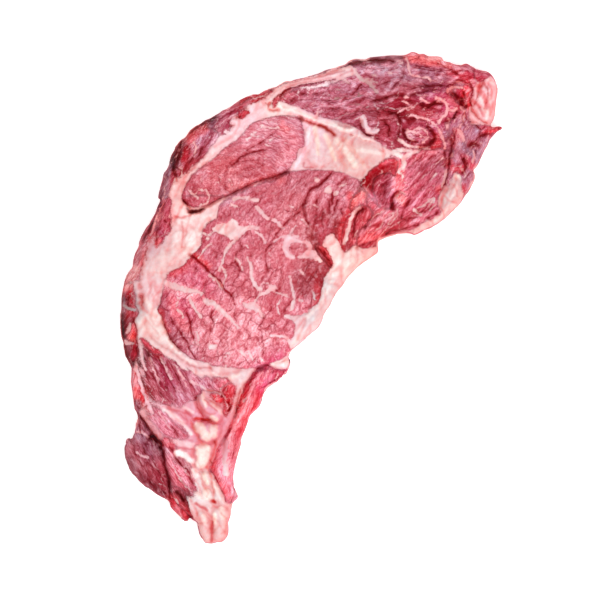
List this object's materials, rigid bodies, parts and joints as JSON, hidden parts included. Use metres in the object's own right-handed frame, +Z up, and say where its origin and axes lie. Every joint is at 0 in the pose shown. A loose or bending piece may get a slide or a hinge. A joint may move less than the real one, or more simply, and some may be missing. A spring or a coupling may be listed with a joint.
{
  "type": "raw ribeye steak",
  "caption": "Raw boneless ribeye steak cut thick at the shoulder end, a marbled crescent with its cap muscle and fatty tail, lying flat on one cut face.",
  "frame": {"origin": "centre of the object's box, on the plane that the steak rests on", "axes": "+Z up out of the shown cut face, +Y along the length from the tail tip to the broad cap end, +X to the side that the broad cap end curves towards"},
  "size_m": [0.1746, 0.2264, 0.0308],
  "materials": {
    "raw_beef": "moist raw beef: dark red lean with cream fat seams and fine marbling, satin wet sheen"
  },
  "bodies": {
    "root": {"ribeye_steak": "raw_beef"}
  },
  "joints": []
}
